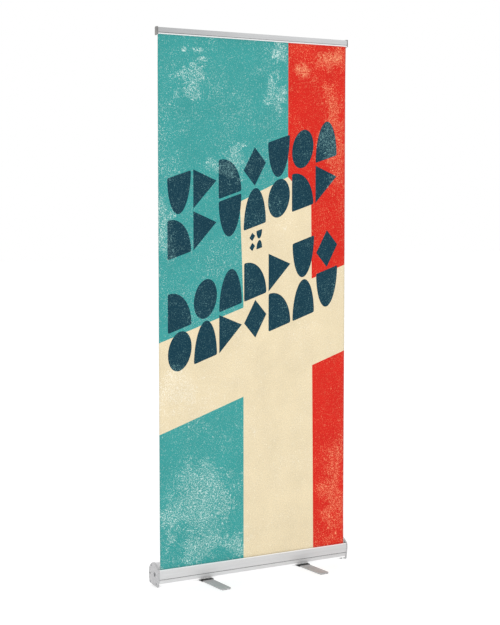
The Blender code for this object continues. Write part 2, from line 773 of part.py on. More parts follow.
def make_stud(side, place):
    """Rubber foot under one end of the cassette."""
    name = f"{'left' if side < 0 else 'right'}_{place}_stud"
    top = HOUSING_BASE - GAP
    profile = [
        (0.0, top),
        (STUD_RADIUS, top),
        (STUD_RADIUS, STUD_CHAMFER),
        (STUD_RADIUS - STUD_CHAMFER, 0.0),
        (0.0, 0.0),
    ]
    obj = turned(name, profile, "Z", (side * STUD_X, STUD_PLACES[place]), sides=24)
    return finish_piece(obj, "rubber")


def make_pole_section(name, number):
    bottom = POLE_BOTTOM + number * SECTION + (GAP if number else 0.0)
    top = POLE_BOTTOM + (number + 1) * SECTION
    obj = ring(name, POLE_RADIUS, POLE_RADIUS - POLE_WALL, bottom, top, "Z", (0.0, POLE_Y), 28)
    return finish_piece(obj, "extrusion")


def make_ferrule(name, number):
    """Sleeve fixed in the top of a section, over which the next one slides."""
    outer = POLE_RADIUS - POLE_WALL - GAP
    bottom = POLE_BOTTOM + number * SECTION - FERRULE_SEAT
    top = bottom + FERRULE_LENGTH
    obj = ring(name, outer, outer - FERRULE_WALL, bottom, top, "Z", (0.0, POLE_Y), 24)
    return finish_piece(obj, "steel")


def make_pole_fittings():
    centre = (0.0, POLE_Y)
    inner = POLE_RADIUS - POLE_WALL - GAP
    plug_top = POLE_BOTTOM + POLE_PLUG
    plug = rod("pole_foot_plug", inner, POLE_BOTTOM, plug_top, "Z", centre, 24)
    finish_piece(plug, "black_plastic")
    cap_bottom = POLE_TOP + GAP
    profile = [
        (0.0, cap_bottom + POLE_CAP_THICK),
        (POLE_RADIUS - POLE_CAP_EDGE, cap_bottom + POLE_CAP_THICK),
        (POLE_RADIUS, cap_bottom + POLE_CAP_THICK - POLE_CAP_EDGE),
        (POLE_RADIUS, cap_bottom),
        (inner, cap_bottom),
        (inner, cap_bottom - POLE_PLUG),
        (0.0, cap_bottom - POLE_PLUG),
    ]
    finish_piece(turned("pole_cap", profile, "Z", centre, sides=24), "black_plastic")
    low = plug_top + GAP
    high = cap_bottom - POLE_PLUG - GAP
    cord = rod("shock_cord", CORD_RADIUS, low, high, "Z", centre, 10)
    finish_piece(cord, "cord")


def make_pole_socket():
    """Cup that takes the pole's foot, with a collar over the hood."""
    inner = POLE_RADIUS + RUN
    outer = inner + SOCKET_WALL
    bottom = HOUSING_FLOOR + GAP
    collar = HOOD_TOP - SOCKET_COLLAR_DROP
    top = collar + SOCKET_COLLAR_THICK
    profile = [
        (inner, top),
        (SOCKET_COLLAR - SOCKET_EDGE, top),
        (SOCKET_COLLAR, top - SOCKET_EDGE),
        (SOCKET_COLLAR, collar),
        (outer, collar),
        (outer, bottom),
        (0.0, bottom),
    ]
    inside = [(0.0, bottom + SOCKET_FLOOR), (inner, bottom + SOCKET_FLOOR), (inner, top)]
    obj = turned("pole_socket", profile + inside[:-1], "Z", (0.0, POLE_Y), sides=32)
    close_profile(obj)
    return finish_piece(obj, "black_plastic")


def close_profile(obj):
    """Joins the profile's last point to its first, up the bore's wall."""
    shape = bmesh.new()
    shape.from_mesh(obj.data)
    shape.verts.ensure_lookup_table()
    shape.edges.new((shape.verts[-1], shape.verts[0]))
    shape.edges.ensure_lookup_table()
    for edge in list(shape.edges):
        if all(abs(v.co.x) < 1e-6 for v in edge.verts):
            shape.edges.remove(edge)
    shape.to_mesh(obj.data)
    shape.free()


def rail_point(y, z):
    return (y, RAIL_BOTTOM + z)


def make_rail_back():
    """Channel behind the banner, open at the back between two lips."""
    front = BANNER_BACK
    high = RAIL_HEIGHT
    wall = RAIL_WALL
    lip = RAIL_REAR_LIP
    outline = [
        (front, 0.0),
        (RAIL_BACK, 0.0),
        (RAIL_BACK, lip),
        (RAIL_BACK - wall, lip),
        (RAIL_BACK - wall, wall),
        (front + wall, wall),
        (front + wall, high - wall),
        (RAIL_BACK - wall, high - wall),
        (RAIL_BACK - wall, high - lip),
        (RAIL_BACK, high - lip),
        (RAIL_BACK, high),
        (front, high),
    ]
    points = [rail_point(y, z) for y, z in outline]
    obj = plate("rail_back", [points], -RAIL_HALF, RAIL_HALF)
    return finish_piece(obj, "extrusion")


def jaw_profile():
    """Front half of the rail: flat face, round top corner, rounded lower lip."""
    back = BANNER_FRONT
    high = RAIL_HEIGHT
    wall = RAIL_WALL
    bead = JAW_BEAD
    turn = RAIL_CORNER
    notch = RAIL_FRONT + JAW_NOTCH
    swell = JAW_NOTCH + JAW_BEAD_PROUD
    lip = [
        (notch - swell * math.sin(a), bead / 2 * (1 + math.cos(a)))
        for a in (math.pi * k / 8 for k in range(9))
    ]
    corner = [
        (RAIL_FRONT + turn * (1 - math.sin(a)), high - turn * (1 - math.cos(a)))
        for a in (math.pi * k / 12 for k in range(7))
    ]
    inside = [
        (back, wall),
        (notch + wall, wall),
        (notch + wall, bead + wall),
        (RAIL_FRONT + wall, bead + 2 * wall),
        (RAIL_FRONT + wall, high - turn),
        (RAIL_FRONT + turn, high - wall),
        (back, high - wall),
    ]
    return [(back, high)] + corner + [(RAIL_FRONT, bead + wall)] + lip + [(back, 0.0)] + inside


def make_rail_jaw():
    points = [rail_point(y, z) for y, z in jaw_profile()]
    half = RAIL_HALF - GAP
    obj = plate("rail_front_jaw", [points], -half, half)
    return finish_piece(obj, "extrusion")


def make_rail_cap(side):
    """Plastic end of the rail: a plate with a tongue in the back channel. Its
    rear part hangs a little lower than the rail."""
    name = "left_rail_cap" if side < 0 else "right_rail_cap"
    front = RAIL_FRONT - RAIL_CAP_PROUD
    back = RAIL_BACK + RAIL_CAP_PROUD
    split = BANNER_BACK + RAIL_WALL
    top = RAIL_HEIGHT + RAIL_CAP_RISE
    corner = RAIL_CORNER + RAIL_CAP_PROUD
    outline = [
        (front, -RAIL_CAP_LIP),
        (split, -RAIL_CAP_LIP),
        (split, -RAIL_CAP_DROP),
        (back, -RAIL_CAP_DROP),
        (back, top - corner),
        (back - corner, top),
    ]
    outline += [
        (front + corner * (1 - math.sin(a)), top - corner * (1 - math.cos(a)))
        for a in (math.pi * k / 12 for k in range(7))
    ]
    inner = RAIL_HALF + GAP
    ends = sorted((side * inner, side * (inner + RAIL_CAP_THICK)))
    obj = plate(name, [[rail_point(y, z) for y, z in outline]], *ends)
    margin = RAIL_WALL + GAP
    x = sorted((side * (inner - RAIL_CAP_TONGUE), side * (inner + RAIL_CAP_THICK / 2)))
    low = (x[0], BANNER_BACK + margin, RAIL_BOTTOM + margin)
    high = (x[1], RAIL_BACK - margin, RAIL_TOP - margin)
    combine(obj, box(f"{name}_tongue", low, high), "UNION")
    return finish_piece(obj, "rail_plastic")


def make_rail_clip():
    """Clip on the back of the rail: a shoe in the channel, an arm and an open
    ring that grips the pole just under its cap."""
    inner = POLE_RADIUS + RUN
    outer = inner + CLIP_WALL
    middle = RAIL_BOTTOM + RAIL_HEIGHT / 2
    low = middle - CLIP_HEIGHT / 2
    high = middle + CLIP_HEIGHT / 2
    mouth = math.radians(CLIP_MOUTH) / 2
    steps = 20
    sweep = [math.pi / 2 + mouth + (2 * math.pi - 2 * mouth) * k / steps for k in range(steps + 1)]
    arc = [(outer * math.cos(a), POLE_Y + outer * math.sin(a)) for a in sweep]
    arc += [(inner * math.cos(a), POLE_Y + inner * math.sin(a)) for a in reversed(sweep)]
    obj = plate("rail_clip", [arc], low, high, "Z")
    half = CLIP_ARM / 2
    rear_lip = RAIL_BOTTOM + RAIL_REAR_LIP + GAP
    arm_top = RAIL_TOP - RAIL_REAR_LIP - GAP
    channel = BANNER_BACK + RAIL_WALL + GAP
    shoe_back = RAIL_BACK - RAIL_WALL - GAP
    arm_low = (-half, shoe_back - PAST, rear_lip)
    arm_high = (half, POLE_Y - inner - CLIP_WALL / 2, arm_top)
    combine(obj, box("clip_arm", arm_low, arm_high), "UNION")
    margin = RAIL_WALL + GAP
    shoe_low = (-CLIP_SHOE / 2, channel, RAIL_BOTTOM + margin)
    shoe_high = (CLIP_SHOE / 2, shoe_back, RAIL_TOP - margin)
    combine(obj, box("clip_shoe", shoe_low, shoe_high), "UNION")
    return finish_piece(obj, "black_plastic")


def build():
    make_housing()
    for side in (-1, 1):
        make_end_cap(side)
        word = "left" if side < 0 else "right"
        for place, centre in CHANNELS.items():
            make_cross_screw(f"{word}_cap_screw_{place}", side, centre)
    make_roller_tube()
    make_leader_wrap()
    make_roller_plug("drive_plug", -1)
    make_roller_plug("idler_plug", 1)
    make_tension_spindle()
    make_torsion_spring()
    make_idler_pin()
    make_banner()
    for side in (-1, 1):
        make_foot(side)
        make_foot_hub(side)
        make_pivot(side)
        for end in (-1, 1):
            make_foot_pad(side, end)
        for place in STUD_PLACES:
            make_stud(side, place)
    for number, name in enumerate(("pole_lower", "pole_middle", "pole_upper")):
        make_pole_section(name, number)
    make_ferrule("lower_ferrule", 1)
    make_ferrule("upper_ferrule", 2)
    make_pole_fittings()
    make_pole_socket()
    make_rail_back()
    make_rail_jaw()
    for side in (-1, 1):
        make_rail_cap(side)
    make_rail_clip()


build()
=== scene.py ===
import math

import bmesh
import bpy
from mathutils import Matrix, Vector


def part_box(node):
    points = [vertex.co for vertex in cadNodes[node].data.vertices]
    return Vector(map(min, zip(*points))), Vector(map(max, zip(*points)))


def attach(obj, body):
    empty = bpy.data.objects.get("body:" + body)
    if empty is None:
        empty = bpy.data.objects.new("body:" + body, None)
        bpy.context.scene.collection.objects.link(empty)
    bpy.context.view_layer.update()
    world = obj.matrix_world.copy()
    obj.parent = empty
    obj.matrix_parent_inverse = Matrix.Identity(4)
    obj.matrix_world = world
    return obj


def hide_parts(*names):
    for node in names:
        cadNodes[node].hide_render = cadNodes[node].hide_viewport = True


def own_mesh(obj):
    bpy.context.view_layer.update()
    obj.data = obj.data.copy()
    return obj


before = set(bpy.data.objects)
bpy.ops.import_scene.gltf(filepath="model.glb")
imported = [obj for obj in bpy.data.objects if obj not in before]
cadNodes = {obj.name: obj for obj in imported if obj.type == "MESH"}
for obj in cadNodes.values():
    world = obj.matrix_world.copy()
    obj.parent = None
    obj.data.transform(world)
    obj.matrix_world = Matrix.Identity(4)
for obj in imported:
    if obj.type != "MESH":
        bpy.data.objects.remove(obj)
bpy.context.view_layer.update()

print("frame loaded,", len(cadNodes), "nodes")


# small helpers for node trees

def plug(tree, socket, value):
    if isinstance(value, bpy.types.NodeSocket):
        tree.links.new(value, socket)
    else:
        socket.default_value = value


def addNode(tree, kind, inputs=None, **settings):
    made = tree.nodes.new(kind)
    for name, value in settings.items():
        setattr(made, name, value)
    for key, value in (inputs or {}).items():
        plug(tree, made.inputs[key], value)
    return made


def calc(tree, operation, *values):
    made = addNode(tree, "ShaderNodeMath", operation=operation)
    for socket, value in zip(made.inputs, values):
        plug(tree, socket, value)
    return made.outputs[0]


def mixColour(tree, factor, first, second, blend="MIX"):
    made = addNode(tree, "ShaderNodeMix", data_type="RGBA", blend_type=blend)
    for index, value in ((0, factor), (6, first), (7, second)):
        plug(tree, made.inputs[index], value)
    return made.outputs[2]


def remap(tree, value, fromLow, fromHigh, toLow=0.0, toHigh=1.0, kind="SMOOTHSTEP"):
    made = addNode(tree, "ShaderNodeMapRange", interpolation_type=kind)
    for index, item in enumerate((value, fromLow, fromHigh, toLow, toHigh)):
        plug(tree, made.inputs[index], item)
    return made.outputs[0]


def noise(tree, place, scale, detail=2.0, rough=0.5, distortion=0.0):
    return addNode(tree, "ShaderNodeTexNoise", {
        "Vector": place, "Scale": scale, "Detail": detail, "Roughness": rough, "Distortion": distortion,
    }).outputs[0]


def stretched(tree, place, scale):
    return addNode(tree, "ShaderNodeMapping", {"Vector": place, "Scale": scale}).outputs[0]


def newGroup(name, takes, gives):
    tree = bpy.data.node_groups.new(name, "ShaderNodeTree")
    for label, kind, value in takes:
        socket = tree.interface.new_socket(label, in_out="INPUT", socket_type="NodeSocket" + kind)
        if value is not None:
            socket.default_value = value
    for label, kind in gives:
        tree.interface.new_socket(label, in_out="OUTPUT", socket_type="NodeSocket" + kind)
    source = tree.nodes.new("NodeGroupInput")
    return tree, source.outputs, tree.nodes.new("NodeGroupOutput").inputs


def useGroup(tree, group, **inputs):
    made = addNode(tree, "ShaderNodeGroup", node_tree=group)
    for key, value in inputs.items():
        plug(tree, made.inputs[key], value)
    return made.outputs


def newMaterial(name, roughness=0.5, metallic=0.0, **constants):
    made = bpy.data.materials.new(name)
    made.use_nodes = True
    shader = made.node_tree.nodes["Principled BSDF"]
    shader.inputs["Roughness"].default_value = roughness
    shader.inputs["Metallic"].default_value = metallic
    for key, value in constants.items():
        shader.inputs[key.replace("_", " ")].default_value = value
    place = addNode(made.node_tree, "ShaderNodeTexCoord").outputs["Object"]
    return made, made.node_tree, shader, place


def bandWave(tree, place, scale, **settings):
    # the plain value of a wave texture, from 0 to 1
    return addNode(tree, "ShaderNodeTexWave", {"Vector": place, "Scale": scale}, **settings).outputs[1]


def linear(red, green, blue):
    # screen colour, 0 to 255, as the linear colour that shaders take
    def one(value):
        share = value / 255
        return share / 12.92 if share <= 0.04045 else ((share + 0.055) / 1.055) ** 2.4

    return (one(red), one(green), one(blue), 1.0)


def bump(tree, shader, height, distance, strength=1.0, normal=None):
    inputs = {"Height": height, "Distance": distance, "Strength": strength}
    if normal is not None:
        inputs["Normal"] = normal
    plug(tree, shader.inputs["Normal"], addNode(tree, "ShaderNodeBump", inputs).outputs[0])


# effects that several materials share

def makeGrainGroup():
    # long drawn lines in metal, with the streaks running along the axis that Stretch keeps small
    tree, take, give = newGroup(
        "drawnGrain",
        [("Place", "Vector", None), ("Stretch", "Vector", (1.0, 1.0, 1.0)), ("Scale", "Float", 900.0)],
        [("Shade", "Float"), ("Height", "Float")],
    )
    along = stretched(tree, take["Place"], take["Stretch"])
    fine = noise(tree, along, take["Scale"], 3.0, 0.6)
    broad = noise(tree, along, calc(tree, "MULTIPLY", take["Scale"], 0.13), 2.0, 0.5)
    both = calc(tree, "MULTIPLY_ADD", fine, 0.6, calc(tree, "MULTIPLY", broad, 0.4))
    plug(tree, give["Shade"], remap(tree, both, 0.35, 0.65))
    plug(tree, give["Height"], both)
    return tree


def makeWearGroup():
    # bright rubbed edges: where the rounded normal leaves the true one
    tree, take, give = newGroup(
        "edgeWear",
        [("Place", "Vector", None), ("Reach", "Float", 0.001), ("Break", "Float", 260.0)],
        [("Mask", "Float"), ("Normal", "Vector")],
    )
    soft = addNode(tree, "ShaderNodeBevel", {"Radius": take["Reach"]}, samples=4).outputs[0]
    true = addNode(tree, "ShaderNodeNewGeometry").outputs["True Normal"]
    turned = addNode(tree, "ShaderNodeVectorMath", {0: soft, 1: true}, operation="DOT_PRODUCT")
    facing = turned.outputs["Value"]
    edge = remap(tree, facing, 0.99, 0.80)
    rubbed = remap(tree, noise(tree, take["Place"], take["Break"], 3.0, 0.6), 0.40, 0.60)
    plug(tree, give["Mask"], calc(tree, "MULTIPLY", edge, rubbed))
    plug(tree, give["Normal"], soft)
    return tree


def makeDustGroup():
    # dust that settles on faces turned up, in loose drifts
    tree, take, give = newGroup(
        "settledDust",
        [("Place", "Vector", None), ("Amount", "Float", 0.3)],
        [("Mask", "Float")],
    )
    normal = addNode(tree, "ShaderNodeNewGeometry").outputs["Normal"]
    up = addNode(tree, "ShaderNodeSeparateXYZ", {0: normal}).outputs["Z"]
    facing = remap(tree, up, 0.25, 0.95)
    drift = remap(tree, noise(tree, take["Place"], 38.0, 5.0, 0.65), 0.38, 0.72)
    speck = remap(tree, noise(tree, take["Place"], 900.0, 2.0, 0.7), 0.55, 0.75)
    cover = calc(tree, "MULTIPLY_ADD", speck, 0.5, drift)
    seen = calc(tree, "MULTIPLY", cover, facing)
    plug(tree, give["Mask"], calc(tree, "MULTIPLY", seen, take["Amount"]))
    return tree


def makeHandlingGroup():
    # faint smears and small dents in the sheen, from hands and bags
    tree, take, give = newGroup(
        "handling",
        [("Place", "Vector", None), ("Scale", "Float", 20.0),
         ("Base", "Float", 0.4), ("Spread", "Float", 0.1)],
        [("Roughness", "Float"), ("Smear", "Float")],
    )
    cloudy = noise(tree, take["Place"], take["Scale"], 4.0, 0.6)
    small = noise(tree, take["Place"], calc(tree, "MULTIPLY", take["Scale"], 9.0), 2.0, 0.6)
    both = calc(tree, "MULTIPLY_ADD", small, 0.35, calc(tree, "MULTIPLY", cloudy, 0.65))
    shift = remap(tree, both, 0.3, 0.7, -1.0, 1.0, "LINEAR")
    plug(tree, give["Roughness"], calc(tree, "MULTIPLY_ADD", shift, take["Spread"], take["Base"]))
    plug(tree, give["Smear"], remap(tree, cloudy, 0.35, 0.65))
    return tree


def makeShadeAndGrimeGroup():
    # painted shade mixed with dirt: ambient occlusion darkens grooves, seams and corners, broken up by noise
    tree, take, give = newGroup(
        "recessShadeAndGrime",
        [("Place", "Vector", None), ("Reach", "Float", 0.006), ("Amount", "Float", 0.5)],
        [("Mask", "Float")],
    )
    shelter = addNode(tree, "ShaderNodeAmbientOcclusion", {"Distance": take["Reach"]},
                      samples=6, only_local=True)
    deep = remap(tree, shelter.outputs["AO"], 0.75, 0.25)
    loose = remap(tree, noise(tree, take["Place"], 130.0, 4.0, 0.6), 0.25, 0.65, 0.6, 1.0)
    held = calc(tree, "MULTIPLY", deep, loose)
    plug(tree, give["Mask"], calc(tree, "MULTIPLY", held, take["Amount"]))
    return tree


drawnGrain = makeGrainGroup()
edgeWear = makeWearGroup()
settledDust = makeDustGroup()
handling = makeHandlingGroup()
recessShadeAndGrime = makeShadeAndGrimeGroup()
print("shared effects ready")


# metals

dustColour = linear(205, 202, 196)
# how far the painted lip highlights reach: height above the lower edge, depth behind the front, and the
# upward turn of the surface they cover
lipHighlightFade = {"height": 0.0012, "depth": 0.002, "turnedFrom": 0.30, "turnedTo": 0.75}


def paintedShadeAlong(tree, place, colour, look):
    # painted shade: the colour darkens gently toward one end of the extrusion
    span = addNode(tree, "ShaderNodeSeparateXYZ", {0: place}).outputs["X"]
    along = remap(tree, span, *look["sweep"], kind="LINEAR")
    return mixColour(tree, along, mixColour(tree, 1.0, colour, look["paintedShade"], "MULTIPLY"), colour)


def paintedLipHighlights(tree, place, colour, look):
    # painted highlights: two bright strips on an extrusion's front, its lowest edge and where the front
    # rolls over to face up, in the worn colour
    split = addNode(tree, "ShaderNodeSeparateXYZ", {0: place}).outputs
    normal = addNode(tree, "ShaderNodeNewGeometry").outputs["Normal"]
    up = addNode(tree, "ShaderNodeSeparateXYZ", {0: normal}).outputs["Z"]
    front = remap(tree, split["Y"], look["front"], look["front"] - lipHighlightFade["depth"])
    rolled = calc(tree, "MULTIPLY", remap(tree, up, lipHighlightFade["turnedFrom"], lipHighlightFade["turnedTo"]), front)
    edge = remap(tree, split["Z"], look["lip"] + lipHighlightFade["height"], look["lip"])
    return mixColour(tree, calc(tree, "MAXIMUM", rolled, edge), colour, look["worn"])


def drawnMetal(name, look):
    made, tree, shader, place = newMaterial(name, metallic=look["metal"])
    grain = useGroup(tree, drawnGrain, Place=place, Stretch=look["stretch"], Scale=look["scale"])
    hands = useGroup(tree, handling, Place=place, Scale=look["smear"],
                     Base=look["rough"], Spread=look["spread"])
    wear = useGroup(tree, edgeWear, Place=place, Reach=look["edge"])
    dust = useGroup(tree, settledDust, Place=place, Amount=look["dust"])
    shadeAndGrime = useGroup(tree, recessShadeAndGrime, Place=place, Amount=look["shadeAndGrime"])
    colour = mixColour(tree, grain["Shade"], look["dark"], look["light"])
    colour = mixColour(tree, calc(tree, "MULTIPLY", hands["Smear"], 0.3), colour, look["smearColour"])
    colour = mixColour(tree, calc(tree, "MULTIPLY", wear["Mask"], 0.7), colour, look["worn"])
    colour = mixColour(tree, dust["Mask"], colour, dustColour)
    # painted shade along X and painted highlights on the lips, for the extrusions that have a lip
    if "lip" in look:
        colour = paintedShadeAlong(tree, place, colour, look)
        colour = paintedLipHighlights(tree, place, colour, look)
    # painted shade mixed with dirt: recesses found by ambient occlusion darken toward this colour
    colour = mixColour(tree, shadeAndGrime["Mask"], colour, look["shadeAndDirt"])
    plug(tree, shader.inputs["Base Color"], colour)
    dull = calc(tree, "MULTIPLY_ADD", dust["Mask"], 0.4, hands["Roughness"])
    plug(tree, shader.inputs["Roughness"], dull)
    bump(tree, shader, grain["Height"], look["relief"], 0.5, wear["Normal"])
    return made


# stretch: streaks run along the small axis; lip: height of the lower edge that gets a painted highlight;
# front: where the front face lies in Y; worn: colour of rubbed edges, also the colour of the painted lip
# highlights; sweep: along X, where the painted shade is full and where it has faded out
metalLooks = {
    "satinAluminium": {  # the cassette, drawn along X
        "metal": 0.20, "stretch": (0.006, 1.0, 1.0), "scale": 700.0, "relief": 0.00002,
        "smear": 9.0, "rough": 0.52, "spread": 0.05, "edge": 0.0012, "dust": 0.10, "shadeAndGrime": 0.85,
        "dark": linear(204, 204, 205), "light": linear(216, 216, 217), "smearColour": linear(214, 213, 211),
        "worn": linear(252, 252, 252), "shadeAndDirt": linear(84, 84, 86), "paintedShade": linear(244, 244, 244),
        "lip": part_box("cassette_housing")[0].z + 0.0055, "front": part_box("banner_graphic")[0].y,
        "sweep": (0.45, -0.20),
    },
    "railAluminium": {  # the rail, drawn along X
        "metal": 0.55, "stretch": (0.006, 1.0, 1.0), "scale": 500.0, "relief": 0.00002,
        "smear": 3.2, "rough": 0.40, "spread": 0.05, "edge": 0.0012, "dust": 0.05, "shadeAndGrime": 0.45,
        "dark": linear(196, 197, 198), "light": linear(208, 209, 210), "smearColour": linear(214, 215, 216),
        "worn": linear(240, 240, 240), "shadeAndDirt": linear(96, 96, 98), "paintedShade": linear(226, 226, 226),
        "lip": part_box("rail_front_jaw")[0].z + 0.0030, "front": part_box("rail_front_jaw")[0].y,
        "sweep": (-0.40, 0.05),
    },
    "poleAluminium": {  # the pole, drawn along Z
        "metal": 0.80, "stretch": (1.0, 1.0, 0.012), "scale": 1400.0, "relief": 0.00003,
        "smear": 22.0, "rough": 0.32, "spread": 0.06, "edge": 0.0012, "dust": 0.05, "shadeAndGrime": 0.60,
        "dark": linear(182, 183, 186), "light": linear(206, 207, 210), "smearColour": linear(196, 196, 196),
        "worn": linear(235, 235, 235), "shadeAndDirt": linear(90, 90, 92),
    },
    "footSteel": {  # painted, then rubbed along the bar
        "metal": 0.10, "stretch": (1.0, 0.02, 1.0), "scale": 600.0, "relief": 0.00003,
        "smear": 18.0, "rough": 0.60, "spread": 0.06, "edge": 0.0011, "dust": 0.10, "shadeAndGrime": 0.80,
        "dark": linear(170, 170, 171), "light": linear(188, 188, 189), "smearColour": linear(160, 160, 160),
        "worn": linear(216, 216, 216), "shadeAndDirt": linear(60, 60, 62),
    },
    "zincSteel": {  # screws, washers, spindle, spring
        "metal": 1.0, "stretch": (1.0, 1.0, 1.0), "scale": 600.0, "relief": 0.00003,
        "smear": 60.0, "rough": 0.30, "spread": 0.10, "edge": 0.0005, "dust": 0.08, "shadeAndGrime": 0.80,
        "dark": linear(160, 162, 164), "light": linear(196, 197, 200), "smearColour": linear(180, 182, 190),
        "worn": linear(236, 236, 236), "shadeAndDirt": linear(50, 48, 46),
    },
}
metals = {name: drawnMetal(name, look) for name, look in metalLooks.items()}


def makeCapMetal():
    # cast end cap with a bright skin that is fine-grained and a little uneven
    made, tree, shader, place = newMaterial("castCap", metallic=0.55)
    hands = useGroup(tree, handling, Place=place, Scale=60.0, Base=0.36, Spread=0.08)
    wear = useGroup(tree, edgeWear, Place=place, Reach=0.0012, Break=180.0)
    dust = useGroup(tree, settledDust, Place=place, Amount=0.12)
    shadeAndGrime = useGroup(tree, recessShadeAndGrime, Place=place, Reach=0.008, Amount=0.9)
    mottle = remap(tree, noise(tree, place, 210.0, 4.0, 0.62), 0.34, 0.66)
    broad = remap(tree, noise(tree, place, 34.0, 3.0, 0.55), 0.34, 0.66)
    colour = mixColour(tree, mottle, linear(166, 166, 167), linear(198, 198, 199))
    colour = mixColour(tree, calc(tree, "MULTIPLY", broad, 0.45), colour, linear(184, 183, 184))
    colour = mixColour(tree, calc(tree, "MULTIPLY", wear["Mask"], 0.5), colour, linear(232, 232, 232))
    colour = mixColour(tree, dust["Mask"], colour, linear(200, 198, 192))
    # painted shade mixed with dirt: recesses found by ambient occlusion darken toward this grey
    colour = mixColour(tree, shadeAndGrime["Mask"], colour, linear(62, 62, 64))
    plug(tree, shader.inputs["Base Color"], colour)
    plug(tree, shader.inputs["Roughness"], hands["Roughness"])
    bump(tree, shader, mottle, 0.00012, 0.5, wear["Normal"])
    return made


metals["castCap"] = makeCapMetal()


# plastics, rubber and cord

def mouldedPlastic(name, look):
    made, tree, shader, place = newMaterial(name, Specular_IOR_Level=look["shine"])
    hands = useGroup(tree, handling, Place=place, Scale=30.0, Base=look["rough"], Spread=0.08)
    wear = useGroup(tree, edgeWear, Place=place, Reach=look["edge"], Break=320.0)
    dust = useGroup(tree, settledDust, Place=place, Amount=look["dust"])
    shadeAndGrime = useGroup(tree, recessShadeAndGrime, Place=place, Amount=0.6)
    pebbles = addNode(tree, "ShaderNodeTexVoronoi", {"Vector": place, "Scale": look["pebble"]})
    colour = mixColour(tree, hands["Smear"], look["dark"], look["light"])
    colour = mixColour(tree, calc(tree, "MULTIPLY", wear["Mask"], 0.5), colour, look["worn"])
    colour = mixColour(tree, dust["Mask"], colour, linear(176, 172, 165))
    # painted shade mixed with dirt: recesses found by ambient occlusion darken toward near black
    colour = mixColour(tree, shadeAndGrime["Mask"], colour, linear(14, 14, 14))
    plug(tree, shader.inputs["Base Color"], colour)
    dull = calc(tree, "MULTIPLY_ADD", dust["Mask"], 0.3, hands["Roughness"])
    plug(tree, shader.inputs["Roughness"], dull)
    bump(tree, shader, pebbles.outputs["Distance"], look["relief"], 0.5, wear["Normal"])
    return made


plasticLooks = {
    "capPlastic": {
        "shine": 0.4, "rough": 0.42, "edge": 0.0007, "dust": 0.15, "pebble": 1500.0, "relief": 0.00005,
        "dark": linear(118, 117, 116), "light": linear(138, 136, 134), "worn": linear(176, 174, 172),
    },
    "blackPlastic": {
        "shine": 0.25, "rough": 0.50, "edge": 0.0006, "dust": 0.06, "pebble": 1300.0, "relief": 0.00006,
        "dark": linear(16, 16, 17), "light": linear(26, 26, 27), "worn": linear(58, 58, 60),
    },
    "rubber": {
        "shine": 0.2, "rough": 0.82, "edge": 0.0005, "dust": 0.15, "pebble": 900.0, "relief": 0.00010,
        "dark": linear(28, 28, 28), "light": linear(38, 37, 36), "worn": linear(62, 60, 58),
    },
}
plastics = {name: mouldedPlastic(name, look) for name, look in plasticLooks.items()}


def makeCordMaterial():
    made, tree, shader, place = newMaterial("cordBraid", roughness=0.85)
    weave = addNode(tree, "ShaderNodeTexWave", {
        "Vector": place, "Scale": 260.0, "Distortion": 1.5}).outputs[1]
    colour = mixColour(tree, weave, linear(24, 24, 26), linear(70, 70, 74))
    plug(tree, shader.inputs["Base Color"], colour)
    bump(tree, shader, weave, 0.0003)
    return made


def makeLeaderMaterial():
    # woven strip that joins the print to the tube
    made, tree, shader, place = newMaterial("leaderFilm", roughness=0.6)
    across = bandWave(tree, place, 400.0, bands_direction="X")
    cloudy = noise(tree, place, 20.0, 4.0, 0.6)
    colour = mixColour(tree, cloudy, linear(214, 214, 210), linear(232, 232, 229))
    colour = mixColour(tree, calc(tree, "MULTIPLY", across, 0.2), colour, linear(188, 188, 184))
    plug(tree, shader.inputs["Base Color"], colour)
    bump(tree, shader, across, 0.0001)
    return made


cordBraid = makeCordMaterial()
leaderFilm = makeLeaderMaterial()
print("hard materials ready")


# the printed sheet

bannerSizes = {
    "columns": 64, "rows": 150, "thick": 0.0004, "margin": 0.0014,
    "ripple": 0.0006, "curl": 0.0016, "curlWidth": 0.030,
    "slotTop": 0.078, "railClear": 0.006,
}

inks = {  # fresh, and rubbed thin
    "teal": (linear(60, 156, 153), linear(206, 232, 226)),
    "red": (linear(214, 36, 24), linear(244, 158, 116)),
    "cream": (linear(231, 215, 180), linear(248, 240, 220)),
    "navy": (linear(8, 56, 72), linear(116, 160, 160)),
}

# slanted colour blocks: a band with a pointed top, crossed by a rising arm
blocks = {
    "split": 0.151, "peak": 1.569, "leftRoof": 0.445, "rightRoof": -0.954,
    "bandLeft": -0.054, "bandLean": 0.0395, "leanFrom": 1.08, "bandRight": 0.2758, "rightLean": 0.0104,
    "armSlope": 0.33, "armLow": 0.727, "armHigh": 1.077,
}

# rows of plain tiles, each cut from a disc, a diamond or a wedge: two to a column, the upper one first
tileRows = [
    {"slope": 0.325, "low": 1.370, "tall": 0.318, "gap": 0.010, "from": -0.392, "to": 0.387, "columns": [
        ("bowl", "fan"), ("wedge", "wedge"), ("fan", "bowl"), ("diamond", "arch"),
        ("bowl", "disc"), ("disc", "fan"), ("arch", "wedge")]},
    {"slope": 0.330, "low": 0.934, "tall": 0.318, "gap": 0.010, "from": -0.392, "to": 0.392, "columns": [
        ("fan", "disc"), ("disc", "arch"), ("arch", "wedge"), ("fan", "diamond"),
        ("wedge", "fan"), ("bowl", "arch"), ("diamond", "bowl")]},
    {"slope": 0.325, "low": 1.280, "tall": 0.078, "gap": 0.006, "from": -0.030, "to": 0.034, "columns": [
        ("diamond", "diamond"), ("bowl", "arch")]},
]
# where each kind is centred in its tile, from -1 to 1, how far it reaches, and its power
tileKinds = {
    "disc": (0, 0, 1, 1, 2.0), "diamond": (0, 0, 1, 1, 1.0), "wedge": (0, 0, 1, 1, 1.0),
    "arch": (0, -1, 1, 2, 2.0), "bowl": (0, 1, 1, 2, 2.0), "fan": (-1, -1, 2, 2, 2.0),
}
print("artwork laid out")


